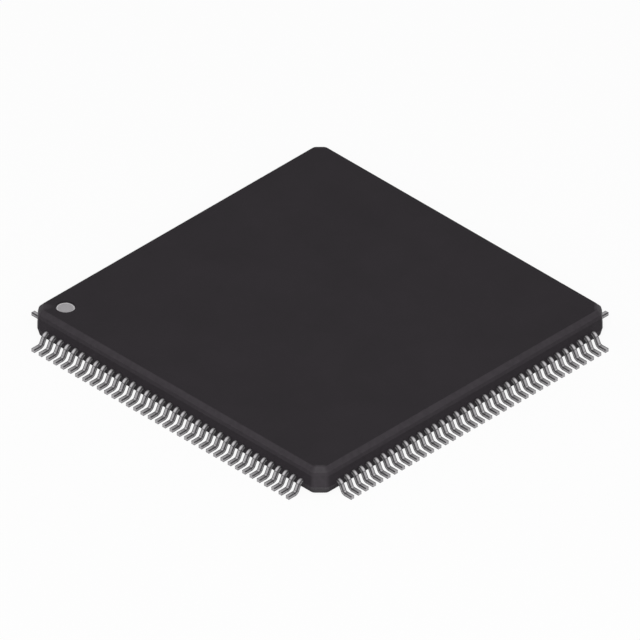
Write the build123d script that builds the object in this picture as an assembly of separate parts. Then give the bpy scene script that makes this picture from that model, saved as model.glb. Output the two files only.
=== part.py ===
from build123d import *
import math
import os

# A digital signal processor in a low-profile quad flat package: a moulded square body with a row of
# gull-wing leads on each of its four sides, and the chip with its wiring inside. Millimetres and
# degrees. The soles of the leads stand on the plane z = 0, the package is centred on the z axis, and
# the leads are numbered counter-clockwise from above, from the corner at -x, +y.

# Moulded body
BODY_WIDTH = 20.0
BODY_HEIGHT = 1.45
STANDOFF = 0.15
CORNER_CUT = 0.56
CORNER_EASE = 0.12
WALL_DRAFT = 2.0
FACET_HEIGHT = 0.19
FACET_DRAFT = 14.0
BEVEL_WIDTH = 0.215
BEVEL_HEIGHT = 0.235

# Mark beside lead 1: an ink disc on the floor of a dimple
MARK_DIAMETER = 0.93
MARK_THICKNESS = 0.02
MARK_INSET = 1.25
DIMPLE_DEPTH = 0.11
DIMPLE_CLEARANCE = 0.02

# Leads, stamped from one sheet with the die paddle and bent to shape outside the body
LEADS_PER_SIDE = 36
LEAD_PITCH = 0.5
LEAD_WIDTH = 0.22
LEAD_REACH = 1.0
LEAD_EXIT_HEIGHT = 0.55
SHEET_THICKNESS = 0.19
SLOPE_ANGLE = 63.0
SHOULDER_RADIUS = 0.15
HEEL_RADIUS = 0.11
CREST_CHORDS = 2
BEND_CHORDS = 1

# Fingers, the inner ends of the leads, which fan in towards the die
FINGER_TIP_PITCH = 0.31
FINGER_TIP_WIDTH = 0.13
FINGER_TO_PADDLE_GAP = 1.6

# Die paddle, sunk below the leads, with a tie bar to each corner
PADDLE_WIDTH = 9.0
PADDLE_DOWNSET = 0.24
TIE_BAR_WIDTH = 0.35
TIE_BAR_FLAT = 0.6
TIE_BAR_RAMP = 0.4
TIE_BAR_COVER = 0.4

# Silicon die and the adhesive that holds it on the paddle
DIE_WIDTH = 7.0
DIE_THICKNESS = 0.28
ADHESIVE_THICKNESS = 0.025
ADHESIVE_MARGIN = 0.1

# Bond wires, three-sided, from the pads along the die's edges to the fingers
WIRE_WIDTH = 0.03
WIRE_LOOP_HEIGHT = 0.2
WIRE_LOOP_RUN = 0.22
PAD_PITCH = 0.18
PAD_INSET = 0.12
STITCH_INSET = 0.3

# Levels above the board, and distances from the package's axis
BODY_TOP = STANDOFF + BODY_HEIGHT
SHEET_TOP = LEAD_EXIT_HEIGHT + SHEET_THICKNESS
PADDLE_TOP = SHEET_TOP - PADDLE_DOWNSET
PADDLE_BOTTOM = PADDLE_TOP - SHEET_THICKNESS
DIE_BOTTOM = PADDLE_TOP + ADHESIVE_THICKNESS
DIE_TOP = DIE_BOTTOM + DIE_THICKNESS
WALL_REACH = BODY_WIDTH / 2
TOE_REACH = WALL_REACH + LEAD_REACH
FINGER_TIP_REACH = PADDLE_WIDTH / 2 + FINGER_TO_PADDLE_GAP
STITCH_REACH = FINGER_TIP_REACH + STITCH_INSET
PAD_REACH = DIE_WIDTH / 2 - PAD_INSET


def lean(height, draft):
    """How far a drafted wall leans in over a height."""
    return height * math.tan(math.radians(draft))


def flat_sided(sections):
    """A solid with flat sides through a row of sections that have the same number of corners."""
    faces = [Face(Wire.make_polygon(sections[0])), Face(Wire.make_polygon(sections[-1]))]
    for near, far in zip(sections, sections[1:]):
        for corner in range(len(near)):
            side = [near[corner - 1], near[corner], far[corner], far[corner - 1]]
            faces.append(Face(Wire.make_polygon(side)))
    return Solid(Shell(faces))


def body_section(height, inset):
    """Corners of the body's outline at one height: a square with cut and eased corners, set in all round."""
    width = BODY_WIDTH - 2 * inset
    outline = Rectangle(width, width)
    outline = chamfer(outline.vertices(), CORNER_CUT - inset * (2 - math.sqrt(2)))
    outline = chamfer(outline.vertices(), CORNER_EASE)
    edges = outline.wire().order_edges()
    return [edge.position_at(0) + (0, 0, height) for edge in edges]


def moulded_shape():
    """The outside of the body. It is widest where the mould halves part, at the soles of the fingers."""
    bevel_bottom = BODY_TOP - BEVEL_HEIGHT
    wall_top = bevel_bottom - FACET_HEIGHT
    wall_inset = lean(wall_top - LEAD_EXIT_HEIGHT, WALL_DRAFT)
    facet_inset = wall_inset + lean(FACET_HEIGHT, FACET_DRAFT)
    return flat_sided([
        body_section(STANDOFF, lean(LEAD_EXIT_HEIGHT - STANDOFF, FACET_DRAFT)),
        body_section(LEAD_EXIT_HEIGHT, 0),
        body_section(wall_top, wall_inset),
        body_section(bevel_bottom, facet_inset),
        body_section(BODY_TOP, facet_inset + BEVEL_WIDTH),
    ])


def mark_place():
    """Where the mark for lead 1 is centred, at the same inset from both sides of its corner."""
    reach = WALL_REACH - MARK_INSET
    return Pos(-reach, reach, BODY_TOP - DIMPLE_DEPTH)


def lead_mark():
    """The ink disc beside lead 1."""
    return mark_place() * extrude(Circle(MARK_DIAMETER / 2), MARK_THICKNESS)


def dimple():
    """The hollow around the ink disc."""
    return mark_place() * extrude(Circle(MARK_DIAMETER / 2 + DIMPLE_CLEARANCE), DIMPLE_DEPTH)


def moulded_body(held_pieces):
    """The body, moulded tightly round the pieces that it holds."""
    return moulded_shape() - dimple() - held_pieces


def bend(centre, radius, first_angle, last_angle, chords):
    """Points along a bend, as equal chords between two angles measured from straight up."""
    turn = (last_angle - first_angle) / chords
    angles = [math.radians(first_angle + turn * index) for index in range(chords + 1)]
    return [
        (centre[0] + radius * math.sin(angle), centre[1] + radius * math.cos(angle))
        for angle in angles
    ]


def lead_profile():
    """Side outline of a lead: flat finger, shoulder bend at the wall, slope, heel bend and flat foot."""
    slope = math.radians(SLOPE_ANGLE)
    between_radii = SHOULDER_RADIUS + SHEET_THICKNESS + HEEL_RADIUS
    shoulder = (WALL_REACH, LEAD_EXIT_HEIGHT - SHOULDER_RADIUS)
    heel_height = SHEET_THICKNESS + HEEL_RADIUS
    slope_drop = shoulder[1] - heel_height + between_radii * math.cos(slope)
    heel_reach = shoulder[0] + between_radii * math.sin(slope) + slope_drop / math.tan(slope)
    heel = (heel_reach, heel_height)

    top = [
        (FINGER_TIP_REACH, SHEET_TOP),
        *bend(shoulder, SHOULDER_RADIUS + SHEET_THICKNESS, 0, SLOPE_ANGLE, CREST_CHORDS),
        *bend(heel, HEEL_RADIUS, 180 + SLOPE_ANGLE, 180, BEND_CHORDS),
        (TOE_REACH, SHEET_THICKNESS),
    ]
    sole = [
        (FINGER_TIP_REACH, LEAD_EXIT_HEIGHT),
        *bend(shoulder, SHOULDER_RADIUS, 0, SLOPE_ANGLE, BEND_CHORDS),
        *bend(heel, HEEL_RADIUS + SHEET_THICKNESS, 180 + SLOPE_ANGLE, 180, BEND_CHORDS),
        (TOE_REACH, 0),
    ]
    return Polygon(*top, *reversed(sole), align=None)


def row_places():
    """Place of each lead in its row, in pitches from the middle of the row."""
    middle = (LEADS_PER_SIDE - 1) / 2
    return [index - middle for index in range(LEADS_PER_SIDE)]


def lead_blank(place):
    """Plan outline of a lead: straight outside the body, and drawn in to its fingertip inside it."""
    wall_side = place * LEAD_PITCH
    tip_side = place * FINGER_TIP_PITCH
    right = [
        (FINGER_TIP_REACH, tip_side - FINGER_TIP_WIDTH / 2),
        (WALL_REACH, wall_side - LEAD_WIDTH / 2),
        (TOE_REACH, wall_side - LEAD_WIDTH / 2),
    ]
    left = [
        (FINGER_TIP_REACH, tip_side + FINGER_TIP_WIDTH / 2),
        (WALL_REACH, wall_side + LEAD_WIDTH / 2),
        (TOE_REACH, wall_side + LEAD_WIDTH / 2),
    ]
    return Polygon(*right, *reversed(left), align=None)


def lead_row():
    """The leads of the +x side. Each is what its plan outline and the bent profile have in common."""
    bent_sheet = extrude(Plane.XZ * lead_profile(), WALL_REACH, both=True)
    return [bent_sheet & extrude(lead_blank(place), SHEET_TOP) for place in row_places()]


def finger_side(place, reach):
    """How far a finger's middle line lies to the side, at a distance from the package's axis."""
    share = (reach - FINGER_TIP_REACH) / (WALL_REACH - FINGER_TIP_REACH)
    return place * (FINGER_TIP_PITCH + share * (LEAD_PITCH - FINGER_TIP_PITCH))


def bond_wire(place):
    """A three-sided wire that rises from its pad to a loop and runs down to a stitch on its finger."""
    pad = Vector(PAD_REACH, place * PAD_PITCH, DIE_TOP)
    stitch = Vector(STITCH_REACH, finger_side(place, STITCH_REACH), SHEET_TOP)
    forward = Vector(stitch.X - pad.X, stitch.Y - pad.Y, 0).normalized()
    sideways = forward.rotate(Axis.Z, 90) * (WIRE_WIDTH / 2)
    loop = pad + forward * WIRE_LOOP_RUN + Vector(0, 0, WIRE_LOOP_HEIGHT)
    ridge = loop + Vector(0, 0, WIRE_WIDTH)
    on_loop = [ridge, loop + sideways, loop - sideways]
    rise = loop - pad
    fall = stitch - loop
    on_pad = [corner - rise * ((corner.Z - DIE_TOP) / rise.Z) for corner in on_loop]
    on_finger = [corner + fall * ((SHEET_TOP - corner.Z) / fall.Z) for corner in on_loop]
    return flat_sided([on_pad, on_loop, on_finger])


def tie_bar():
    """A bar along +x: flat from under the die, up a ramp to the leads' level, and on to its corner."""
    ramp_bottom = PADDLE_WIDTH / math.sqrt(2) + TIE_BAR_FLAT
    ramp_top = ramp_bottom + TIE_BAR_RAMP
    end = (BODY_WIDTH - CORNER_CUT) / math.sqrt(2) - TIE_BAR_COVER
    top = [(PADDLE_WIDTH / 2, PADDLE_TOP), (ramp_bottom, PADDLE_TOP), (ramp_top, SHEET_TOP), (end, SHEET_TOP)]
    sole = [(reach, height - SHEET_THICKNESS) for reach, height in top]
    outline = Plane.XZ * Polygon(*top, *reversed(sole), align=None)
    return extrude(outline, TIE_BAR_WIDTH / 2, both=True)


def slab(width, bottom, thickness):
    """A square slab on the package's axis, standing on a level."""
    return extrude(Pos(0, 0, bottom) * Rectangle(width, width), thickness)


def die_paddle():
    """The square that carries the die, in one piece with its four tie bars."""
    bars = [Rot(0, 0, 45 + 90 * corner) * tie_bar() for corner in range(4)]
    return slab(PADDLE_WIDTH, PADDLE_BOTTOM, SHEET_THICKNESS) + bars


def die_adhesive():
    """The film of adhesive, which spreads a little beyond the die."""
    return slab(DIE_WIDTH + 2 * ADHESIVE_MARGIN, PADDLE_TOP, ADHESIVE_THICKNESS)


def silicon_die():
    """The chip."""
    return slab(DIE_WIDTH, DIE_BOTTOM, DIE_THICKNESS)


def numbered_rows(name, row):
    """The row of the +x side, turned to all four sides in the order in which the leads are numbered."""
    rows = {}
    for side in range(4):
        first = side * LEADS_PER_SIDE + 1
        last = first + LEADS_PER_SIDE - 1
        turn = Rot(0, 0, 180 + 90 * side)
        rows[f"{name}_{first}_to_{last}"] = [turn * piece for piece in row]
    return rows


def main():
    """Build every node and write each to a file of its own."""
    nodes = {
        **numbered_rows("leads", lead_row()),
        **numbered_rows("bond_wires", [bond_wire(place) for place in row_places()]),
        "die_paddle": [die_paddle()],
        "die_adhesive": [die_adhesive()],
        "silicon_die": [silicon_die()],
    }
    held_pieces = [piece for pieces in nodes.values() for piece in pieces]
    nodes["moulded_body"] = [moulded_body(held_pieces)]
    nodes["lead_1_mark"] = [lead_mark()]
    os.makedirs("parts", exist_ok=True)
    for name, pieces in nodes.items():
        export_step(Compound(children=pieces), f"parts/{name}.step")


main()
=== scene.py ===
import logging
import math
from collections.abc import Sequence
from dataclasses import dataclass
from enum import Enum
from random import Random
from typing import Any

import bmesh
import bpy
from mathutils import Matrix, Vector
from mathutils.geometry import delaunay_2d_cdt, interpolate_bezier


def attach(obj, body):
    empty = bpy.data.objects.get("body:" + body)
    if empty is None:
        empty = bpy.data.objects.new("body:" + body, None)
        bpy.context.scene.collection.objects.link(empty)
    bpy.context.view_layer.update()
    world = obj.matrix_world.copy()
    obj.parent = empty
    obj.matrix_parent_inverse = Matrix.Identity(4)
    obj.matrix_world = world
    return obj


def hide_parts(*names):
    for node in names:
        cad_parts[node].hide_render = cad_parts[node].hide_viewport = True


# The look of a digital signal processor in a low-profile quad flat package: its moulded body, its four
# rows of tin-plated gull-wing leads, the printed mark beside lead 1, and the chip and wiring inside.
# Sizes in the classes are millimetres and degrees. Meshes are made in metres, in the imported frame.
# Noise from 0 to 1 mostly keeps to its middle, which the finishes stretch to the values that they need.

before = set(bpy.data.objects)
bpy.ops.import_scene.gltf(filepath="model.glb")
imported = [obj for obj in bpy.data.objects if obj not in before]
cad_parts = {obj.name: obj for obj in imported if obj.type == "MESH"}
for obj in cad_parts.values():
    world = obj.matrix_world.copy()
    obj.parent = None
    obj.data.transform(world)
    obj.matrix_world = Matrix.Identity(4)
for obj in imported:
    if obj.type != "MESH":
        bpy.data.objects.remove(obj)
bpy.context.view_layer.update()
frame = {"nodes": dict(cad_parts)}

LOG = logging.getLogger("package")
MM = 0.001
SHARP_ANGLE = math.radians(50)
INSIDE_OUTLINE = 1
WELD_DISTANCE = 1e-5
CLOUD_MIDDLE = (0.3, 0.7)
SPECKLE_MIDDLE = (0.35, 0.65)
WHITE = (1.0, 1.0, 1.0)
UP = Vector((0.0, 0.0, 1.0))

Colour = tuple[float, float, float]
Span = tuple[float, float]


def opaque(colour: Colour) -> tuple[float, float, float, float]:
    """The colour with full opacity, as shader sockets take it."""
    return (*colour, 1.0)


def scaled(colour: Colour, factor: float) -> Colour:
    """The colour made lighter or darker by a factor."""
    return tuple(channel * factor for channel in colour)


def around(middle: float, reach: float) -> Span:
    """The two ends of a range with this middle."""
    return middle - reach, middle + reach


def round_turns(steps: int) -> list[float]:
    """The angles of equal steps round a full turn."""
    return [2 * math.pi * step / steps for step in range(steps)]


def placed(title: str, data: Any) -> bpy.types.Object:
    """Puts a mesh, a lamp or a camera into the scene.

    Args:
        title: Its name.
        data: The mesh, lamp or camera itself.

    Returns:
        The object in the scene.
    """
    thing = bpy.data.objects.new(title, data)
    bpy.context.scene.collection.objects.link(thing)
    return thing


def eased_corner(before: Vector, corner: Vector, after: Vector, radius: float, steps: int) -> list[Vector]:
    """Turns one corner of an outline into an arc.

    Args:
        before: The outline's point before the corner.
        corner: The corner itself.
        after: The outline's point after the corner.
        radius: The arc's radius.
        steps: The number of chords in the arc.

    Returns:
        The arc's points, in the outline's direction.
    """
    back = (before - corner).normalized()
    ahead = (after - corner).normalized()
    half_angle = back.angle(ahead) / 2
    reach = radius / math.tan(half_angle)
    centre = corner + (back + ahead).normalized() * (radius / math.sin(half_angle))
    first = (corner + back * reach - centre).normalized()
    last = (corner + ahead * reach - centre).normalized()
    return [centre + first.slerp(last, step / steps) * radius for step in range(steps + 1)]


def eased_outline(corners: Sequence[Vector], radius: float, steps: int) -> list[Vector]:
    """Turns every corner of a closed outline into an arc.

    Args:
        corners: The outline's corners, in order.
        radius: The radius of each arc.
        steps: The number of chords in each arc.

    Returns:
        The points of all the arcs, in the outline's direction.
    """
    points = []
    for index, corner in enumerate(corners):
        after = corners[(index + 1) % len(corners)]
        points += eased_corner(corners[index - 1], corner, after, radius, steps)
    return points


class Side(Enum):
    """The package's four sides, by their first lead and the turn that brings the +x side there."""

    LEFT = (1, 180)
    FRONT = (37, 270)
    RIGHT = (73, 0)
    BACK = (109, 90)

    @property
    def first(self) -> int:
        """The number of its first lead."""
        return self.value[0]

    @property
    def turn(self) -> Matrix:
        """The rotation from the +x side to this one."""
        return Matrix.Rotation(math.radians(self.value[1]), 3, "Z")


class Shading:
    """The node tree of one material, with its textures laid out in millimetres."""

    layer_strength: float = 0.55
    cell_softness: float = 0.4
    mix_inputs: tuple[int, int] = (6, 7)
    mix_output: int = 2

    def __init__(self, title: str) -> None:
        """Starts an empty material.

        Args:
            title: The material's name.
        """
        self.material = bpy.data.materials.new(title)
        self.material.use_nodes = True
        self.tree = self.material.node_tree
        self.tree.nodes.clear()
        place = self.node("TexCoord").outputs["Object"]
        self.place = self.stretched(place, (1 / MM,) * 3)

    def node(self, kind: str, sockets: dict[str | int, Any] | None = None,
             **settings: Any) -> bpy.types.Node:
        """Adds a node.

        Args:
            kind: The node's type, without its usual prefix.
            sockets: What goes into each named input: another node's output, or a value.
            **settings: Values of the node's own properties.

        Returns:
            The new node.
        """
        node = self.tree.nodes.new(f"ShaderNode{kind}")
        for name, value in settings.items():
            setattr(node, name, value)
        for name, value in (sockets or {}).items():
            if isinstance(value, bpy.types.NodeSocket):
                self.tree.links.new(value, node.inputs[name])
            else:
                node.inputs[name].default_value = value
        return node

    def stretched(self, vector: bpy.types.NodeSocket, factors: Sequence[float]) -> bpy.types.NodeSocket:
        """A vector with each part multiplied by its own factor."""
        return self.node("VectorMath", {0: vector, 1: factors}, operation="MULTIPLY").outputs[0]

    def noise(self, size: float, detail: float = 2.0,
              place: bpy.types.NodeSocket | None = None) -> bpy.types.NodeSocket:
        """Soft clouds, from 0 to 1.

        Args:
            size: The clouds' usual width.
            detail: How many finer layers they have.
            place: The coordinates to follow, where not the object's own.

        Returns:
            The socket with the clouds.
        """
        return self.node("TexNoise", {
            "Vector": place or self.place,
            "Scale": 1 / size,
            "Detail": detail,
            "Roughness": self.layer_strength,
        }).outputs["Fac"]

    def cells(self, size: float) -> bpy.types.NodeSocket:
        """The distance from the middle of small rounded cells, by their usual width."""
        sockets = {"Vector": self.place, "Scale": 1 / size, "Smoothness": self.cell_softness}
        return self.node("TexVoronoi", sockets, feature="SMOOTH_F1").outputs["Distance"]

    def attribute(self, name: str) -> bpy.types.Node:
        """The node that reads a value stored on a mesh."""
        return self.node("Attribute", attribute_name=name)

    def stored(self, name: str) -> bpy.types.NodeSocket:
        """A number stored on a mesh."""
        return self.attribute(name).outputs["Fac"]

    def spread(self, value: bpy.types.NodeSocket, low: float, high: float,
               floor: float = 0.0, ceiling: float = 1.0) -> bpy.types.NodeSocket:
        """Maps a value from one range to another.

        Args:
            value: The socket with the value.
            low: What the low end becomes.
            high: What the high end becomes.
            floor: The value's low end.
            ceiling: The value's high end.

        Returns:
            The socket with the mapped value.
        """
        sockets = {"Value": value, "From Min": floor, "From Max": ceiling, "To Min": low, "To Max": high}
        return self.node("MapRange", sockets).outputs["Result"]

    def math(self, operation: str, *values: Any) -> bpy.types.NodeSocket:
        """The result of one sum or comparison of values."""
        return self.node("Math", dict(enumerate(values)), operation=operation).outputs[0]

    def ramp(self, value: bpy.types.NodeSocket, low: Colour | bpy.types.NodeSocket,
             high: Colour) -> bpy.types.NodeSocket:
        """A colour between two.

        Args:
            value: The socket with the share of the second colour.
            low: The first colour, or the socket with it.
            high: The second colour.

        Returns:
            The socket with the mixed colour.
        """
        first, second = self.mix_inputs
        low = low if isinstance(low, bpy.types.NodeSocket) else opaque(low)
        mix = self.node("Mix", {0: value, first: low, second: opaque(high)}, data_type="RGBA")
        return mix.outputs[self.mix_output]

    def mottled(self, value: bpy.types.NodeSocket, colour: Colour, share: float) -> bpy.types.NodeSocket:
        """A colour that a value makes darker or lighter by a share of itself."""
        return self.ramp(value, *(scaled(colour, factor) for factor in around(1, share)))

    def bump(self, height: bpy.types.NodeSocket, depth: float,
             under: bpy.types.NodeSocket | None = None) -> bpy.types.NodeSocket:
        """Relief from a height between 0 and 1.

        Args:
            height: The socket with the height.
            depth: How deep the relief is.
            under: Coarser relief that this one lies on.

        Returns:
            The socket with the bent normal.
        """
        sockets = {"Height": height, "Distance": depth * MM, "Strength": 1.0}
        if under:
            sockets["Normal"] = under
        return self.node("Bump", sockets).outputs["Normal"]

    def close(self, shader: bpy.types.Node) -> bpy.types.Material:
        """Ends the tree in one shader and gives the finished material."""
        self.node("OutputMaterial", {"Surface": shader.outputs[0]})
        return self.material

    def principled(self, sockets: dict[str, Any]) -> bpy.types.Material:
        """Ends the tree in a physical surface and gives the finished material."""
        return self.close(self.node("BsdfPrincipled", sockets))


class Finish:
    """A surface finish, which makes its material once and puts it on pieces."""

    def shade(self, shading: Shading) -> bpy.types.Material:
        """Lays out the finish's nodes."""
        raise NotImplementedError

    def material(self) -> bpy.types.Material:
        """The finish's material, made the first time that it is needed."""
        title = type(self).__name__
        return bpy.data.materials.get(title) or self.shade(Shading(title))

    def coat(self, piece: bpy.types.Object) -> None:
        """Puts the finish on a piece, in every slot that it has.

        Args:
            piece: The piece to dress.
        """
        if not piece.material_slots:
            piece.data.materials.append(None)
        for slot in piece.material_slots:
            slot.material = self.material()


@dataclass(frozen=True)
class MouldCompound(Finish):
    """Charcoal epoxy moulding compound with the fine spark-eroded grain of its mould."""

    colour: Colour = (0.0220, 0.0188, 0.0220)
    # Colour of worn edges, also a painted highlight on the corner faces, bevels and facets.
    worn_and_highlight_colour: Colour = (0.050, 0.0445, 0.050)
    tone_spread: float = 0.14
    roughness: float = 0.5
    roughness_spread: float = 0.02
    worn_polish: float = 0.1
    index: float = 1.13
    grain_size: float = 0.05
    grain_depth: float = 0.0024
    crater_size: float = 0.11
    crater_depth: float = 0.0014
    filler_size: float = 0.022
    filler_share: float = 0.4
    cloud_size: float = 2.4
    patch_size: float = 0.3
    patch_loss: float = 0.25

    def shade(self, shading: Shading) -> bpy.types.Material:
        """Lays out the resin's clouds, its filler grains and the eroded relief.

        Args:
            shading: The empty material.

        Returns:
            The finished material.
        """
        clouds = shading.noise(self.cloud_size, detail=4)
        filler = shading.noise(self.filler_size, detail=1)
        cloud_part = shading.math("MULTIPLY", clouds, 1 - self.filler_share)
        filler_part = shading.math("MULTIPLY", filler, self.filler_share)
        tone = shading.spread(shading.math("ADD", cloud_part, filler_part), 0, 1, *CLOUD_MIDDLE)
        resin = shading.mottled(tone, self.colour, self.tone_spread)
        patches = shading.noise(self.patch_size, detail=3)
        patches = shading.spread(patches, 1 - self.patch_loss, 1, *SPECKLE_MIDDLE)
        # The stored mask holds edge wear and painted highlight: faces that turn towards the lamps are made
        # lighter.
        wear = shading.math("MULTIPLY", shading.stored("wear"), patches)
        rough = shading.spread(clouds, *around(self.roughness, self.roughness_spread), *CLOUD_MIDDLE)
        grain = shading.bump(shading.noise(self.grain_size, detail=4), self.grain_depth)
        return shading.principled({
            "Base Color": shading.ramp(wear, resin, self.worn_and_highlight_colour),
            "Roughness": shading.math("SUBTRACT", rough, shading.math("MULTIPLY", wear, self.worn_polish)),
            "IOR": self.index,
            "Normal": shading.bump(shading.cells(self.crater_size), self.crater_depth, grain),
        })


@dataclass(frozen=True)
class TinPlate(Finish):
    """Matte tin over the copper leads: drawn along each, burnished and lighter as a painted highlight at
    its bend, tarnished at its edges.
    """

    colour: Colour = (0.375, 0.366, 0.375)
    tones: Span = (0.86, 1.08)
    tone_middle: Span = (0.5, 1.0)
    burnished_tone: float = 1.16
    burnished_polish: float = 0.07
    tarnish_colour: Colour = (0.025, 0.023, 0.026)
    tarnish_falloff: float = 0.45
    tarnish_loss: float = 0.15
    metal_share: float = 0.6
    roughness: Span = (0.35, 0.47)
    crystal_size: float = 0.03
    crystal_depth: float = 0.0007
    crystal_middle: Span = (0.1, 0.8)
    streak_width: float = 0.018
    streak_length: float = 0.5
    streak_depth: float = 0.0006
    streak_share: float = 0.5
    streak_shift: float = 7.3
    stain_size: float = 0.22
    stain_shift: float = 3.1

    def shade(self, shading: Shading) -> bpy.types.Material:
        """Lays out the plating's crystals, its drawn streaks, the burnished bends with their painted
        highlight and the tarnish.

        Args:
            shading: The empty material.

        Returns:
            The finished material.
        """
        strip = shading.attribute("strip").outputs["Vector"]
        along = shading.stretched(strip, (1 / self.streak_width, 1 / self.streak_length, self.streak_shift))
        streaks = shading.noise(1, detail=3, place=along)
        crystals = shading.cells(self.crystal_size)
        across = shading.stretched(strip, (1, 1, self.stain_shift))
        stain = shading.noise(self.stain_size, detail=3, place=across)
        streaked = shading.math("ADD", stain, shading.math("MULTIPLY", streaks, self.streak_share))
        tone = shading.spread(streaked, 0, 1, *self.tone_middle)
        plate = shading.ramp(tone, *(scaled(self.colour, factor) for factor in self.tones))
        burnish = shading.stored("burnish")
        # The burnished band is also a painted highlight: the top of the shoulder bend is made lighter.
        plate = shading.ramp(burnish, plate, scaled(self.colour, self.burnished_tone))
        patches = shading.spread(stain, 1 - self.tarnish_loss, 1, *CLOUD_MIDDLE)
        edges = shading.math("POWER", shading.stored("tarnish"), self.tarnish_falloff)
        rough = shading.spread(crystals, *self.roughness, *self.crystal_middle)
        polish = shading.math("MULTIPLY", burnish, self.burnished_polish)
        relief = shading.bump(crystals, self.crystal_depth)
        tarnish = shading.math("MULTIPLY", edges, patches)
        return shading.principled({
            "Base Color": shading.ramp(tarnish, plate, self.tarnish_colour),
            "Metallic": self.metal_share,
            "Roughness": shading.math("SUBTRACT", rough, polish),
            "Normal": shading.bump(streaks, self.streak_depth, relief),
        })


@dataclass(frozen=True)
class MarkInk(Finish):
    """Pale gray marking ink, thicker in the bead at its rim, which a painted highlight makes lighter."""

    colour: Colour = (0.335, 0.322, 0.335)
    bead_highlight_colour: Colour = (0.62, 0.605, 0.62)
    tone_spread: float = 0.08
    roughness: float = 0.5
    roughness_spread: float = 0.08
    speckle_size: float = 0.02
    peel_size: float = 0.04
    peel_depth: float = 0.001

    def shade(self, shading: Shading) -> bpy.types.Material:
        """Lays out the film's speckle, its bead's painted highlight and its fine orange peel.

        Args:
            shading: The empty material.

        Returns:
            The finished material.
        """
        speckle = shading.noise(self.speckle_size, detail=3)
        tone = shading.spread(speckle, 0, 1, *SPECKLE_MIDDLE)
        film = shading.mottled(tone, self.colour, self.tone_spread)
        roughness = around(self.roughness, self.roughness_spread)
        return shading.principled({
            # The bead's lighter colour is a painted highlight along the rim.
            "Base Color": shading.ramp(shading.stored("bead"), film, self.bead_highlight_colour),
            "Roughness": shading.spread(speckle, *roughness, *CLOUD_MIDDLE),
            "Normal": shading.bump(shading.noise(self.peel_size), self.peel_depth),
        })


@dataclass(frozen=True)
class CopperAlloy(Finish):
    """Rolled copper alloy of the lead frame, with the rolling lines and a thin brown bloom."""

    colour: Colour = (0.78, 0.45, 0.30)
    bloom_colour: Colour = (0.42, 0.22, 0.15)
    bloom_size: float = 1.2
    bloom_share: float = 0.6
    bloom_middle: Span = (0.45, 0.75)
    roughness: Span = (0.3, 0.45)
    line_width: float = 0.05
    line_stretch: tuple[float, float, float] = (1.0, 0.05, 1.0)
    line_depth: float = 0.0015

    def shade(self, shading: Shading) -> bpy.types.Material:
        """Lays out the rolling lines and the bloom.

        Args:
            shading: The empty material.

        Returns:
            The finished material.
        """
        place = shading.stretched(shading.place, self.line_stretch)
        lines = shading.noise(self.line_width, detail=3, place=place)
        clouds = shading.noise(self.bloom_size, detail=4)
        bloom = shading.spread(clouds, 0, self.bloom_share, *self.bloom_middle)
        return shading.principled({
            "Base Color": shading.ramp(bloom, self.colour, self.bloom_colour),
            "Metallic": 1.0,
            "Roughness": shading.spread(bloom, *self.roughness),
            "Normal": shading.bump(lines, self.line_depth),
        })


@dataclass(frozen=True)
class SilverEpoxy(Finish):
    """Die adhesive: clear resin full of silver flakes."""

    colour: Colour = (0.30, 0.29, 0.27)
    flake_colour: Colour = (0.72, 0.71, 0.69)
    flake_size: float = 0.012
    flake_depth: float = 0.001
    flake_rim: Span = (0.1, 0.5)
    metal_share: Span = (0.2, 0.9)
    roughness: Span = (0.45, 0.3)

    def shade(self, shading: Shading) -> bpy.types.Material:
        """Lays out the flakes in their resin.

        Args:
            shading: The empty material.

        Returns:
            The finished material.
        """
        flakes = shading.cells(self.flake_size)
        lit = shading.spread(flakes, 1, 0, *self.flake_rim)
        return shading.principled({
            "Base Color": shading.ramp(lit, self.colour, self.flake_colour),
            "Metallic": shading.spread(lit, *self.metal_share),
            "Roughness": shading.spread(lit, *self.roughness),
            "Normal": shading.bump(flakes, self.flake_depth),
        })


@dataclass(frozen=True)
class Silicon(Finish):
    """A polished chip, with faint blocks of circuitry over its face."""

    colour: Colour = (0.060, 0.066, 0.082)
    block_colour: Colour = (0.105, 0.098, 0.120)
    street_tone: float = 0.5
    street_width: float = 0.02
    block_width: float = 0.85
    block_height: float = 0.4
    line_size: float = 0.02
    line_stretch: tuple[float, float, float] = (0.2, 2.0, 1.0)
    line_depth: float = 0.0002
    metal_share: float = 0.6
    roughness: Span = (0.12, 0.24)
    glass: float = 0.5

    def shade(self, shading: Shading) -> bpy.types.Material:
        """Lays out the blocks of circuitry and their fine lines.

        Args:
            shading: The empty material.

        Returns:
            The finished material.
        """
        blocks = shading.node("TexBrick", {
            "Vector": shading.place,
            "Color1": opaque(self.colour),
            "Color2": opaque(self.block_colour),
            "Mortar": opaque(scaled(self.colour, self.street_tone)),
            "Scale": 1.0,
            "Mortar Size": self.street_width,
            "Brick Width": self.block_width,
            "Row Height": self.block_height,
        }).outputs["Color"]
        place = shading.stretched(shading.place, self.line_stretch)
        lines = shading.noise(self.line_size, detail=1, place=place)
        return shading.principled({
            "Base Color": blocks,
            "Metallic": self.metal_share,
            "Roughness": shading.spread(lines, *self.roughness),
            "Coat Weight": self.glass,
            "Normal": shading.bump(lines, self.line_depth),
        })


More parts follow.
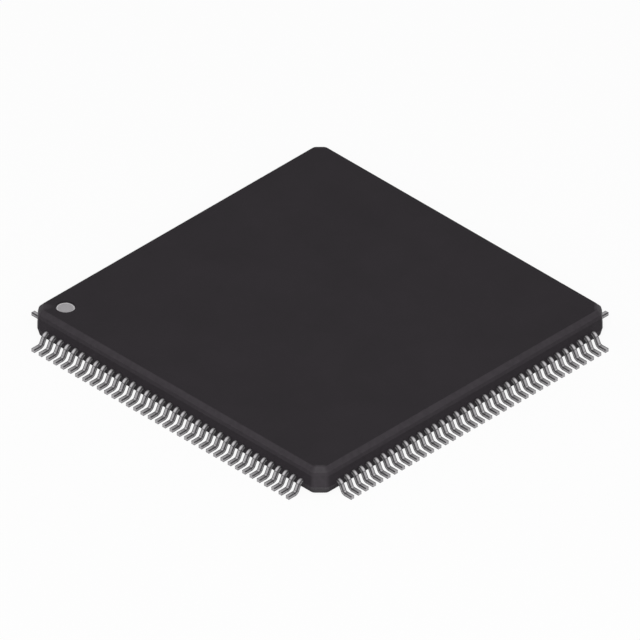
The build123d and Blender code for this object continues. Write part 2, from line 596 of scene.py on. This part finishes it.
@dataclass(frozen=True)
class GoldWire(Finish):
    """Drawn gold bonding wire."""

    colour: Colour = (0.94, 0.66, 0.28)
    dulled_tone: float = 0.85
    dulled_size: float = 0.05
    roughness: Span = (0.16, 0.3)
    scratch_size: float = 0.01
    scratch_depth: float = 0.0002

    def shade(self, shading: Shading) -> bpy.types.Material:
        """Lays out the soft dulling of the drawn surface.

        Args:
            shading: The empty material.

        Returns:
            The finished material.
        """
        dulling = shading.noise(self.dulled_size, detail=3)
        return shading.principled({
            "Base Color": shading.ramp(dulling, scaled(self.colour, self.dulled_tone), self.colour),
            "Metallic": 1.0,
            "Roughness": shading.spread(dulling, *self.roughness, *CLOUD_MIDDLE),
            "Normal": shading.bump(shading.noise(self.scratch_size), self.scratch_depth),
        })


@dataclass(frozen=True)
class PaperSweep(Finish):
    """White studio paper with a faint shadow, which lets light through and can't be seen from below."""

    colour: Colour = (0.85, 0.85, 0.85)
    fibre_tone: float = 0.985
    fibre_size: float = 0.4
    whiteness: float = 0.92
    mirrored_whiteness: float = 0.4

    def shade(self, shading: Shading) -> bpy.types.Material:
        """Lays out the lit paper, the white that the camera and reflections see, and its clear back.

        Args:
            shading: The empty material.

        Returns:
            The finished material.
        """
        path = shading.node("LightPath").outputs
        mirrored = shading.math("MAXIMUM", path["Is Glossy Ray"], path["Is Transmission Ray"])
        mirrored = shading.math("MULTIPLY", mirrored, self.mirrored_whiteness)
        seen = shading.math("MULTIPLY", path["Is Camera Ray"], self.whiteness)
        share = shading.math("MAXIMUM", seen, mirrored)
        fibre = shading.noise(self.fibre_size, detail=3)
        fibre = shading.ramp(fibre, scaled(self.colour, self.fibre_tone), self.colour)
        paper = shading.node("BsdfDiffuse", {"Color": fibre})
        white = shading.node("Emission", {"Color": opaque(WHITE), "Strength": 1.0})
        front = shading.node("MixShader", {0: share, 1: paper.outputs[0], 2: white.outputs[0]})
        back = shading.node("BsdfTransparent")
        below = shading.node("NewGeometry").outputs["Backfacing"]
        clear = shading.math("MAXIMUM", below, path["Is Shadow Ray"])
        both = shading.node("MixShader", {0: clear, 1: front.outputs[0], 2: back.outputs[0]})
        shading.material.cycles.emission_sampling = "NONE"
        return shading.close(both)


class MeshPiece:
    """One mesh piece in the making: rings of points joined into closed skins."""

    def __init__(self, weights: Sequence[str] = (), chart: str = "") -> None:
        """Starts with an empty mesh.

        Args:
            weights: The names of the values that its points store for a finish.
            chart: The name of the coordinates that its points store for a finish, if any.
        """
        self.mesh = bmesh.new()
        layers = self.mesh.verts.layers
        for name in weights:
            layers.float.new(name)
        if chart:
            layers.float_vector.new(chart)

    def ring(self, points: Sequence[Vector], chart: Sequence[Vector] = (),
             **weights: Sequence[float]) -> list[bmesh.types.BMVert]:
        """Adds a loose ring of points.

        Args:
            points: The points, in millimetres.
            chart: The coordinates that each point stores.
            **weights: By name, the value that each point stores.

        Returns:
            The ring.
        """
        ring = [self.mesh.verts.new(point * MM) for point in points]
        layers = self.mesh.verts.layers
        for name, values in weights.items():
            for vert, value in zip(ring, values):
                vert[layers.float[name]] = value
        for vert, place in zip(ring, chart):
            vert[layers.float_vector[0]] = place
        return ring

    def skin(self, rings: Sequence[Sequence[bmesh.types.BMVert]]) -> None:
        """Joins each ring to the next with four-sided faces.

        Args:
            rings: The rings, in order, all of the same number of points.
        """
        for near, far in zip(rings, rings[1:]):
            for index in range(len(near)):
                self.mesh.faces.new((near[index - 1], near[index], far[index], far[index - 1]))

    def lid(self, ring: Sequence[bmesh.types.BMVert]) -> None:
        """Closes a ring with one flat face."""
        self.mesh.faces.new(ring)

    def solid(self, rings: Sequence[Sequence[bmesh.types.BMVert]]) -> None:
        """Joins rings into a solid, closed at both ends.

        Args:
            rings: The rings, in order, all of the same number of points.
        """
        self.skin(rings)
        self.lid(rings[0])
        self.lid(rings[-1])

    def plate(self, outline: Sequence[bmesh.types.BMVert],
              holes: Sequence[Sequence[bmesh.types.BMVert]]) -> None:
        """Fills the level area inside an outline and outside the round holes in it.

        Args:
            outline: The ring round the area.
            holes: The ring round each hole.
        """
        verts, edges, hole_of = [], [], []
        for number, ring in enumerate([outline, *holes]):
            first = len(verts)
            edges += [(first + index, first + (index + 1) % len(ring)) for index in range(len(ring))]
            hole_of += [number] * len(ring)
            verts += ring
        places = [vert.co.xy / MM for vert in verts]
        _, _, triangles, sources, _, _ = delaunay_2d_cdt(places, edges, [], INSIDE_OUTLINE, WELD_DISTANCE)
        for triangle in triangles:
            corners = [sources[corner][0] for corner in triangle]
            numbers = {hole_of[corner] for corner in corners}
            if len(numbers) > 1 or numbers == {0}:
                self.mesh.faces.new([verts[corner] for corner in corners])

    def finished(self, title: str, finish: Finish, node: str) -> bpy.types.Object:
        """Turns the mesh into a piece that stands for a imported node.

        Args:
            title: The piece's name.
            finish: The finish that it gets.
            node: The node that it stands for.

        Returns:
            The piece, in place and riding on the package.
        """
        bmesh.ops.recalc_face_normals(self.mesh, faces=self.mesh.faces[:])
        for face in self.mesh.faces:
            face.smooth = True
        for edge in self.mesh.edges:
            edge.smooth = edge.calc_face_angle(0.0) < SHARP_ANGLE
        data = bpy.data.meshes.new(title)
        self.mesh.to_mesh(data)
        self.mesh.free()
        piece = placed(title, data)
        piece.modifiers.new("even_shading", "WEIGHTED_NORMAL").keep_sharp = True
        finish.coat(piece)
        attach(piece, "root")
        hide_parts(node)
        return piece


@dataclass(frozen=True)
class Well:
    """A shallow round hollow in a flat face of the body, with a softened lip."""

    x: float
    y: float
    radius: float
    depth: float
    lip: float
    band: float = 0.04
    steps: int = 64
    lip_steps: int = 4

    def circle(self, radius: float, height: float) -> list[Vector]:
        """Points round the well's axis at one height."""
        return [Vector((self.x + radius * math.cos(turn), self.y + radius * math.sin(turn), height))
                for turn in round_turns(self.steps)]

    def sink(self, piece: MeshPiece, level: float, inward: float) -> list[bmesh.types.BMVert]:
        """Adds the well's lip, wall and floor to a piece.

        Args:
            piece: The piece to add to.
            level: The height of the face that the well is in.
            inward: 1 where the well goes up into the body, and -1 where it goes down.

        Returns:
            The ring that bounds the flat band round the well.
        """
        rings = [piece.ring(self.circle(self.radius + self.lip + self.band, level))]
        for step in range(self.lip_steps + 1):
            turn = math.pi / 2 * step / self.lip_steps
            radius = self.radius + self.lip * (1 - math.sin(turn))
            rings.append(piece.ring(self.circle(radius, level + inward * self.lip * (1 - math.cos(turn)))))
        floor = level + inward * self.depth
        rings.append(piece.ring(self.circle(self.radius, floor - inward * self.lip / 2)))
        rings.append(piece.ring(self.circle(self.radius - self.lip / 2, floor)))
        piece.skin(rings)
        piece.lid(rings[-1])
        return rings[0]


@dataclass
class MouldedBody:
    """The package's body: two drafted halves that meet at a parting line, with faceted upper edges."""

    width: float = 20.0
    bottom: float = 0.15
    top: float = 1.60
    parting_height: float = 0.55
    corner_cut: float = 0.56
    corner_ease: float = 0.12
    wall_draft: float = 2.0
    facet_height: float = 0.19
    facet_draft: float = 14.0
    bevel_width: float = 0.215
    bevel_height: float = 0.235
    edge_radius: float = 0.03
    flash_height: float = 0.012
    flash_proud: float = 0.005
    corner_steps: int = 5
    edge_steps: int = 4
    edge_wear: float = 0.3
    # Painted highlight and wear: faces turned towards the lamps are lighter, and the lower facets get none.
    corner_wear: float = 0.9
    bevel_wear: float = 0.75
    facet_wear: float = 0.5
    wall_wear: float = 0.14
    lower_wear: float = 0.0
    flash_wear: float = 0.25
    lower_corner_highlight_share: float = 0.28
    flat_band: float = 0.05
    dimple: Well = Well(-8.75, 8.75, 0.485, 0.11, 0.012, steps=96)
    pin_mark_inset: float = 2.6
    pin_mark_radius: float = 0.6
    pin_mark_depth: float = 0.035
    pin_mark_lip: float = 0.01

    def outline(self, inset: float) -> list[Vector]:
        """The body's outline at one level: a square with cut and eased corners.

        Args:
            inset: How far the outline is set in all round.

        Returns:
            The outline's points, counter-clockwise from above.
        """
        half = self.width / 2 - inset
        cut = self.corner_cut - inset * (2 - math.sqrt(2))
        corners = []
        for quarter in range(4):
            turn = Matrix.Rotation(math.pi / 2 * quarter, 2)
            corners += [turn @ Vector((half, half - cut)), turn @ Vector((half - cut, half))]
        return eased_outline(corners, self.corner_ease / math.tan(math.pi / 8), self.corner_steps)

    def levels(self) -> list[tuple[Vector, float]]:
        """The body's side seen end on, from the bottom face to the top one.

        Returns:
            Points of inset and height, rounded at every edge but the parting line, and their wear and
            painted highlight.
        """
        upper_edge = self.top - self.bevel_height
        wall_top = upper_edge - self.facet_height
        lower_inset = (self.parting_height - self.bottom) * math.tan(math.radians(self.facet_draft))
        wall_inset = (wall_top - self.parting_height) * math.tan(math.radians(self.wall_draft))
        upper_inset = wall_inset + self.facet_height * math.tan(math.radians(self.facet_draft))
        parting_line = Vector((0.0, self.parting_height))
        corners = [
            Vector((self.width / 4, self.bottom)),
            Vector((lower_inset, self.bottom)),
            parting_line,
            Vector((wall_inset, wall_top)),
            Vector((upper_inset, upper_edge)),
            Vector((upper_inset + self.bevel_width, self.top)),
            Vector((self.width / 4, self.top)),
        ]
        face_highlight_and_wear = [0.0, self.lower_wear, self.wall_wear, self.facet_wear, self.bevel_wear, 0.0]
        levels = []
        for index in range(1, len(corners) - 1):
            if corners[index] is parting_line:
                levels += [(point, self.flash_wear) for point in self.flash(parting_line)]
            else:
                points = eased_corner(*corners[index - 1:index + 2], self.edge_radius, self.edge_steps)
                levels += zip(points, self.across_edge(face_highlight_and_wear[index - 1], face_highlight_and_wear[index], self.edge_steps))
        inward = Vector((self.flat_band, 0.0))
        return [(levels[0][0] + inward, 0.0), *levels, (levels[-1][0] + inward, 0.0)]

    def flash(self, corner: Vector) -> list[Vector]:
        """The fine ridge of resin that the mould's parting line leaves.

        Args:
            corner: The parting line, as inset and height.

        Returns:
            The ridge's points, from below.
        """
        rise = Vector((0.0, self.flash_height / 2))
        proud = Vector((-self.flash_proud, 0.0))
        return [corner - rise, corner - rise / 2 + proud, corner + rise / 2 + proud, corner + rise]

    def across_edge(self, first: float, last: float, steps: int) -> list[float]:
        """The wear and painted highlight of an eased edge's points, between the values of the two faces
        beside it.
        """
        return [max(first + (last - first) * share, self.edge_wear * math.sin(math.pi * share))
                for share in (step / steps for step in range(steps + 1))]

    def around_wear(self) -> list[float]:
        """The wear and painted highlight of each point of an outline: the corner faces most, and the sides
        not at all.
        """
        rising = self.across_edge(0.0, self.corner_wear, self.corner_steps)
        return 4 * (rising + rising[::-1])

    def pin_marks(self) -> list[Well]:
        """The round marks that the mould's ejector pins leave under the body.

        Returns:
            The four marks, near the corners.
        """
        reach = self.width / 2 - self.pin_mark_inset
        return [Well(x, y, self.pin_mark_radius, self.pin_mark_depth, self.pin_mark_lip)
                for x in (-reach, reach) for y in (-reach, reach)]

    def build(self) -> bpy.types.Object:
        """Makes the body.

        Returns:
            The finished piece.
        """
        piece = MeshPiece(["wear"])
        rings = []
        for level, level_highlight_and_wear in self.levels():
            points = [point.to_3d() + Vector((0, 0, level.y)) for point in self.outline(level.x)]
            # Below the parting line the corner faces keep only a share of their painted highlight, a
            # painted shade where they look down.
            share = 1.0 if level.y > self.parting_height else self.lower_corner_highlight_share
            wear = [level_highlight_and_wear + share * side * (1 - level_highlight_and_wear) for side in self.around_wear()]
            rings.append(piece.ring(points, wear=wear))
        piece.skin(rings)
        piece.plate(rings[0], [mark.sink(piece, self.bottom, 1) for mark in self.pin_marks()])
        piece.plate(rings[-1], [self.dimple.sink(piece, self.top, -1)])
        return piece.finished("moulded_case", MouldCompound(), "moulded_body")


@dataclass
class PrintedMark:
    """The ink disc in the dimple beside lead 1, with the bead that drying ink leaves at its rim."""

    x: float = -8.75
    y: float = 8.75
    radius: float = 0.465
    floor: float = 1.49
    film: float = 0.013
    bead: float = 0.02
    bead_width: float = 0.05
    bead_section: tuple[tuple[float, float, float], ...] = (
        (0.0, 0.0, 1.0), (0.0, 0.45, 1.0), (0.15, 0.85, 1.0), (0.7, 1.0, 1.0), (1.3, 0.85, 0.5))
    waviness: float = 0.003
    waves: tuple[int, ...] = (5, 11, 17)
    steps: int = 96

    def profile(self) -> list[tuple[float, float, float]]:
        """The disc's section from its rim to near its middle.

        Returns:
            The radius, the height and the share of the bead's painted highlight at each step.
        """
        inner = self.radius - 2 * self.bead_width
        rim = [(self.radius - self.bead_width * inset, self.bead * height, share)
               for inset, height, share in self.bead_section]
        return [*rim, (inner, self.film, 0.0), (inner / 2, self.film, 0.0)]

    def circle(self, radius: float, height: float) -> list[Vector]:
        """The slightly wavy ring that the ink's edge ran out to.

        Args:
            radius: The ring's greatest radius.
            height: Its height over the dimple's floor.

        Returns:
            The ring's points.
        """
        points = []
        for turn in round_turns(self.steps):
            wave = sum(math.sin(count * turn + index) for index, count in enumerate(self.waves))
            ripple = self.waviness * wave / len(self.waves)
            reach = radius + ripple * radius / self.radius - self.waviness
            across, up = self.x + reach * math.cos(turn), self.y + reach * math.sin(turn)
            points.append(Vector((across, up, self.floor + height)))
        return points

    def build(self) -> bpy.types.Object:
        """Makes the disc.

        Returns:
            The finished piece.
        """
        piece = MeshPiece(["bead"])
        piece.solid([piece.ring(self.circle(radius, height), bead=[bead] * self.steps)
                     for radius, height, bead in self.profile()])
        return piece.finished("printed_mark", MarkInk(), "lead_1_mark")


@dataclass(frozen=True)
class Station:
    """One place along a lead: its underside and its upper side there, how the tools left it, and its
    painted highlight.
    """

    sole: Vector
    top: Vector
    burnish: float = 0.0
    crease: float = 0.0

    def towards(self, other: "Station", distance: float) -> "Station":
        """The plain station a little way along the straight run to another one."""
        way = (other.sole - self.sole).normalized() * distance
        return Station(self.sole + way, self.top + way)


@dataclass
class Row:
    """What the leads and the bond wires of one side share: their number, their reach and their pitch."""

    side: Side
    per_side: int = 36
    pitch: float = 0.5
    wall_reach: float = 10.0
    tip_pitch: float = 0.31
    tip_reach: float = 6.1

    def numbers(self) -> str:
        """The numbers of the row's leads, as node names give them."""
        return f"{self.side.first}_to_{self.side.first + self.per_side - 1}"

    def places(self) -> list[float]:
        """Each lead's place, in leads from the middle of the row."""
        return [index - (self.per_side - 1) / 2 for index in range(self.per_side)]


@dataclass
class LeadRow(Row):
    """One side's leads: each a flat strip with rounded edges, bent at the shoulder and at the heel."""

    width: float = 0.22
    thickness: float = 0.19
    toe_reach: float = 11.0
    exit_height: float = 0.55
    slope_angle: float = 63.0
    shoulder_radius: float = 0.15
    heel_radius: float = 0.11
    tip_width: float = 0.13
    edge_radius: float = 0.02
    toe_radius: float = 0.012
    least_radius: float = 0.004
    cut_border: float = 0.02
    tarnish_width: float = 0.042
    crease_width: float = 0.02
    crease_tarnish: float = 0.6
    shoulder_burnish: float = 1.0
    bend_steps: int = 9
    edge_steps: int = 3
    toe_steps: int = 2
    tones: Span = (0, 50)

    def bend(self, centre: Vector, sole: float, top: float, first: float, last: float,
             burnish: float) -> list[Station]:
        """Stations round one bend.

        Args:
            centre: The bend's centre, as reach and height.
            sole: The radius of the lead's underside.
            top: The radius of its upper side.
            first: The angle from straight up where the bend starts.
            last: The angle where it ends.
            burnish: How far the tool polished the middle of the bend, and how much painted highlight
                lightens it.

        Returns:
            The stations, with the tool's crease at both ends.
        """
        stations = []
        for step in range(self.bend_steps + 1):
            share = step / self.bend_steps
            turn = math.radians(first + (last - first) * share)
            way = Vector((math.sin(turn), math.cos(turn)))
            crease = self.crease_tarnish if share in (0.0, 1.0) else 0.0
            polish = burnish * math.sin(math.pi * share)
            stations.append(Station(centre + way * sole, centre + way * top, polish, crease))
        return stations

    def stations(self) -> list[Station]:
        """The stations of the bent part of a lead.

        Returns:
            The stations from the wall to the start of the foot.
        """
        slope = math.radians(self.slope_angle)
        outer_shoulder = self.shoulder_radius + self.thickness
        outer_heel = self.heel_radius + self.thickness
        shoulder = Vector((self.wall_reach, self.exit_height - self.shoulder_radius))
        between = self.shoulder_radius + outer_heel
        drop = shoulder.y - outer_heel + between * math.cos(slope)
        heel = Vector((shoulder.x + between * math.sin(slope) + drop / math.tan(slope), outer_heel))
        upper = self.bend(shoulder, self.shoulder_radius, outer_shoulder, 0, self.slope_angle,
                          self.shoulder_burnish)
        lower = self.bend(heel, outer_heel, self.heel_radius, 180 + self.slope_angle, 180, 0.0)
        toe = Station(Vector((self.toe_reach, 0.0)), Vector((self.toe_reach, self.thickness)))
        below_shoulder = upper[-1].towards(lower[0], self.crease_width)
        above_heel = lower[0].towards(upper[-1], self.crease_width)
        before_foot = lower[-1].towards(toe, self.crease_width)
        return [*upper, below_shoulder, above_heel, *lower, before_foot]

    def section(self, width: float, inset: float) -> list[tuple[Vector, float]]:
        """The lead's cross-section as side and rise, set in all round at the toe's rounding.

        Args:
            width: The lead's width there.
            inset: How far the section is set in.

        Returns:
            The section's points and how tarnished each is: fully on its sheared edges, less beside them.
        """
        half = width / 2 - inset
        low, high = inset, self.thickness - inset
        corners = [Vector((-half, low)), Vector((half, low)), Vector((half, high)), Vector((-half, high))]
        radius = max(self.edge_radius - inset, self.least_radius)
        section = []
        for index, corner in enumerate(corners):
            before, after = corners[index - 1], corners[(index + 1) % 4]
            arc = eased_corner(before, corner, after, radius, self.edge_steps)
            beside = arc[0] + (before - corner).normalized() * self.tarnish_width
            beyond = arc[-1] + (after - corner).normalized() * self.tarnish_width
            section += [(beside, 0.0), *((point, 1.0) for point in arc), (beyond, 0.0)]
        return section

    def lead(self, piece: MeshPiece, place: float, tone: float) -> None:
        """Adds one lead to the row.

        Args:
            piece: The piece to add to.
            place: The lead's place, in leads from the middle of the row.
            tone: A number of its own, which shifts its streaks and stains.
        """
        turn = self.side.turn
        rings = []
        along = 0.0
        last = None

        def add(station: Station, width: float, aside: float, inset: float = 0.0,
                clean: bool = False) -> None:
            """Adds the ring of one station.

            Args:
                station: The station.
                width: The lead's width there.
                aside: How far the lead stands there from the middle of the row.
                inset: How far the ring is set in.
                clean: Whether the ring is free of tarnish.
            """
            nonlocal along, last
            middle = (station.sole + station.top) / 2
            along += (middle - last).length if last else 0.0
            last = middle
            rise = (station.top - station.sole).normalized()
            points, burnish, tarnish, strip = [], [], [], []
            for point, edge in self.section(width, inset):
                reach = station.sole + rise * point.y
                points.append(turn @ Vector((reach.x, aside + point.x, reach.y)))
                # Only the upper side gets the burnish and its painted highlight.
                burnish.append(station.burnish if point.y > self.thickness / 2 else 0.0)
                tarnish.append(0.0 if clean else max(edge, station.crease))
                strip.append(Vector((point.x + point.y, along, tone)))
            rings.append(piece.ring(points, strip, burnish=burnish, tarnish=tarnish))

        rise = Vector((0.0, self.thickness))
        tip = Vector((self.tip_reach, self.exit_height))
        add(Station(tip, tip + rise), self.tip_width, place * self.tip_pitch)
        for station in self.stations():
            add(station, self.width, place * self.pitch)
        for step in range(self.toe_steps + 1):
            angle = math.pi / 2 * step / self.toe_steps
            toe = Vector((self.toe_reach - self.toe_radius * (1 - math.sin(angle)), 0.0))
            inset = self.toe_radius * (1 - math.cos(angle))
            add(Station(toe, toe + rise), self.width, place * self.pitch, inset)
        add(Station(toe, toe + rise), self.width, place * self.pitch, inset + self.cut_border, clean=True)
        piece.solid(rings)

    def build(self) -> bpy.types.Object:
        """Makes the row.

        Returns:
            The finished piece.
        """
        random = Random(self.side.first)
        piece = MeshPiece(["burnish", "tarnish"], "strip")
        for place in self.places():
            self.lead(piece, place, random.uniform(*self.tones))
        numbers = self.numbers()
        return piece.finished(f"formed_leads_{numbers}", TinPlate(), f"leads_{numbers}")


@dataclass
class BondWireRow(Row):
    """One side's bond wires: a ball on each pad, a loop, and a flattened stitch on each finger."""

    pad_reach: float = 3.38
    pad_pitch: float = 0.18
    pad_height: float = 0.805
    stitch_reach: float = 6.4
    stitch_height: float = 0.74
    stitch_steps: int = 2
    stitch_spread: float = 1.2
    stitch_squash: float = 0.66
    wire_radius: float = 0.0125
    ball_radius: float = 0.034
    ball_height: float = 0.022
    ball_section: tuple[Span, ...] = ((0.0, 0.8), (0.3, 1.0), (0.65, 0.95), (0.95, 0.55))
    loop_run: float = 0.22
    loop_height: float = 0.21
    rise_pull: float = 0.13
    crest_pull: float = 0.12
    fall_pull: float = 0.5
    stitch_pull: float = 0.6
    stitch_lift: float = 0.07
    ring_steps: int = 10
    line_steps: int = 9

    def centre_line(self, place: float) -> tuple[Vector, list[Vector]]:
        """The line of one wire, on the +x side.

        Args:
            place: The wire's place, in leads from the middle of the row.

        Returns:
            The wire's way over the chip, seen from above, and the line's points.
        """
        share = (self.stitch_reach - self.tip_reach) / (self.wall_reach - self.tip_reach)
        aside = place * (self.tip_pitch + share * (self.pitch - self.tip_pitch))
        pad = Vector((self.pad_reach, place * self.pad_pitch, self.pad_height + self.ball_height))
        stitch = Vector((self.stitch_reach, aside, self.stitch_height + self.wire_radius / 3))
        way = (stitch - pad).xy.normalized().to_3d()
        loop = pad + way * self.loop_run + UP * (self.loop_height - self.ball_height)
        over_pad, before_crest = pad + UP * self.rise_pull, loop - way * self.crest_pull
        past_crest, over_stitch = loop + way * self.fall_pull, stitch - way * self.stitch_pull
        rise = interpolate_bezier(pad, over_pad, before_crest, loop, self.line_steps)
        over_stitch += UP * self.stitch_lift
        fall = interpolate_bezier(loop, past_crest, over_stitch, stitch, 2 * self.line_steps)
        return way, rise + fall[1:]

    def wire(self, piece: MeshPiece, place: float) -> None:
        """Adds one wire to the row.

        Args:
            piece: The piece to add to.
            place: The wire's place, in leads from the middle of the row.
        """
        side_turn = self.side.turn
        way, line = self.centre_line(place)
        across = UP.cross(way)
        rings = []

        def add(middle: Vector, ahead: Vector, wide: float, high: float) -> None:
            """Adds an oval ring across the wire.

            Args:
                middle: The ring's middle.
                ahead: The way that the wire runs there.
                wide: Half the ring's width.
                high: Half its height.
            """
            over = ahead.cross(across).normalized()
            points = [middle + across * (wide * math.cos(turn)) + over * (high * math.sin(turn))
                      for turn in round_turns(self.ring_steps)]
            rings.append(piece.ring([side_turn @ point for point in points]))

        foot = line[0] - UP * self.ball_height
        for height, share in self.ball_section:
            radius = self.ball_radius * share
            add(foot + UP * (self.ball_height * height), UP, radius, radius)
        last = len(line) - 1
        for index, point in enumerate(line):
            ahead = line[min(index + 1, last)] - line[max(index - 1, 0)] if index else UP
            flat = max(0.0, 1 - (last - index) / self.stitch_steps)
            wide = self.wire_radius * (1 + self.stitch_spread * flat)
            add(point, ahead, wide, self.wire_radius * (1 - self.stitch_squash * flat))
        piece.solid(rings)

    def build(self) -> bpy.types.Object:
        """Makes the row.

        Returns:
            The finished piece.
        """
        piece = MeshPiece()
        for place in self.places():
            self.wire(piece, place)
        numbers = self.numbers()
        return piece.finished(f"gold_wires_{numbers}", GoldWire(), f"bond_wires_{numbers}")


@dataclass(frozen=True)
class ChipStack:
    """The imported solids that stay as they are: the paddle, the adhesive and the chip."""

    paddle: CopperAlloy = CopperAlloy()
    adhesive: SilverEpoxy = SilverEpoxy()
    chip: Silicon = Silicon()

    def dress(self) -> list[bpy.types.Object]:
        """Gives each solid of the stack its finish.

        Returns:
            The dressed solids, from the bottom up.
        """
        nodes = frame["nodes"]
        stack = [("die_paddle", self.paddle), ("die_adhesive", self.adhesive), ("silicon_die", self.chip)]
        for name, finish in stack:
            finish.coat(nodes[name])
        return [nodes[name] for name, _ in stack]


@dataclass(frozen=True)
class Lamp:
    """A square soft lamp, aimed at the package."""

    title: str
    azimuth: float
    elevation: float
    distance: float
    width: float
    watts: float


@dataclass(frozen=True)
class Studio:
    """The white room: its paper floor, its soft lamps and the camera at the photograph's angle."""

    azimuth: float = -45.0
    elevation: float = 35.264
    view_width: float = 31.13
    aim_height: float = 0.8
    camera_distance: float = 160.0
    camera_sight: Span = (1.0, 10000.0)
    floor_width: float = 1600.0
    floor_squares: int = 8
    room_light: float = 0.33
    lamps: tuple[Lamp, ...] = (
        Lamp("key_lamp", -45.0, 43.0, 320.0, 180.0, 0.76),
        Lamp("left_lamp", -133.0, 34.0, 320.0, 260.0, 0.11),
        Lamp("right_lamp", 43.0, 34.0, 320.0, 260.0, 0.11),
        Lamp("under_lamp", 0.0, -89.0, 320.0, 260.0, 0.60),
    )

    def towards(self, azimuth: float, elevation: float) -> Vector:
        """The direction from the package to a place in the room."""
        turn, rise = math.radians(azimuth), math.radians(elevation)
        return Vector((math.sin(turn) * math.cos(rise), -math.cos(turn) * math.cos(rise), math.sin(rise)))

    def stand(self, title: str, data: Any, azimuth: float, elevation: float,
              distance: float) -> bpy.types.Object:
        """Stands a camera or a lamp in the room, aimed at the package.

        Args:
            title: Its name.
            data: The camera or lamp itself.
            azimuth: Its turn round the package.
            elevation: Its angle above the floor.
            distance: How far away it stands.

        Returns:
            The object that stands there.
        """
        away = self.towards(azimuth, elevation)
        thing = placed(title, data)
        thing.rotation_mode = "QUATERNION"
        thing.rotation_quaternion = (-away).to_track_quat("-Z", "Y")
        thing.location = (away * distance + UP * self.aim_height) * MM
        return thing

    def set_camera(self) -> None:
        """Sets up the camera, which sees without perspective."""
        data = bpy.data.cameras.new("camera")
        data.type = "ORTHO"
        data.ortho_scale = self.view_width * MM
        data.clip_start, data.clip_end = (limit * MM for limit in self.camera_sight)
        camera = self.stand("camera", data, self.azimuth, self.elevation, self.camera_distance)
        bpy.context.scene.camera = camera

    def light(self) -> None:
        """Hangs the lamps."""
        for lamp in self.lamps:
            data = bpy.data.lights.new(lamp.title, "AREA")
            data.size = lamp.width * MM
            data.energy = lamp.watts
            self.stand(lamp.title, data, lamp.azimuth, lamp.elevation, lamp.distance)

    def lay_floor(self) -> None:
        """Lays the paper floor."""
        mesh = bmesh.new()
        squares = self.floor_squares
        bmesh.ops.create_grid(mesh, x_segments=squares, y_segments=squares, size=self.floor_width * MM / 2)
        data = bpy.data.meshes.new("paper_floor")
        mesh.to_mesh(data)
        mesh.free()
        floor = placed("paper_floor", data)
        PaperSweep().coat(floor)

    def paint_walls(self) -> None:
        """Makes the room's walls white to the camera and to reflections, and soft light elsewhere."""
        world = bpy.data.worlds.new("white_room")
        world.use_nodes = True
        nodes, links = world.node_tree.nodes, world.node_tree.links
        nodes.clear()
        path = nodes.new("ShaderNodeLightPath").outputs
        seen = path["Is Camera Ray"]
        for name in ("Is Glossy Ray", "Is Transmission Ray"):
            either = nodes.new("ShaderNodeMath")
            either.operation = "MAXIMUM"
            links.new(seen, either.inputs[0])
            links.new(path[name], either.inputs[1])
            seen = either.outputs[0]
        mix = nodes.new("ShaderNodeMixShader")
        links.new(seen, mix.inputs[0])
        for index, strength in ((1, self.room_light), (2, 1.0)):
            wall = nodes.new("ShaderNodeBackground")
            wall.inputs["Color"].default_value = opaque(WHITE)
            wall.inputs["Strength"].default_value = strength
            links.new(wall.outputs[0], mix.inputs[index])
        links.new(mix.outputs[0], nodes.new("ShaderNodeOutputWorld").inputs["Surface"])
        bpy.context.scene.world = world

    def build(self) -> None:
        """Sets up the whole room."""
        self.set_camera()
        self.light()
        self.lay_floor()
        self.paint_walls()
        bpy.context.scene.view_settings.view_transform = "Standard"


def report(pieces: Sequence[bpy.types.Object]) -> None:
    """Logs each piece with its number of faces."""
    for piece in pieces:
        LOG.info("%s: %d faces", piece.name, len(piece.data.polygons))


def main() -> None:
    """Builds the studio and the package, piece by piece."""
    logging.basicConfig(level=logging.INFO, format="%(name)s: %(message)s")
    Studio().build()
    report([MouldedBody().build()])
    report([PrintedMark().build()])
    report([LeadRow(side).build() for side in Side])
    report([BondWireRow(side).build() for side in Side])
    report(ChipStack().dress())


if __name__ == "__main__":
    main()
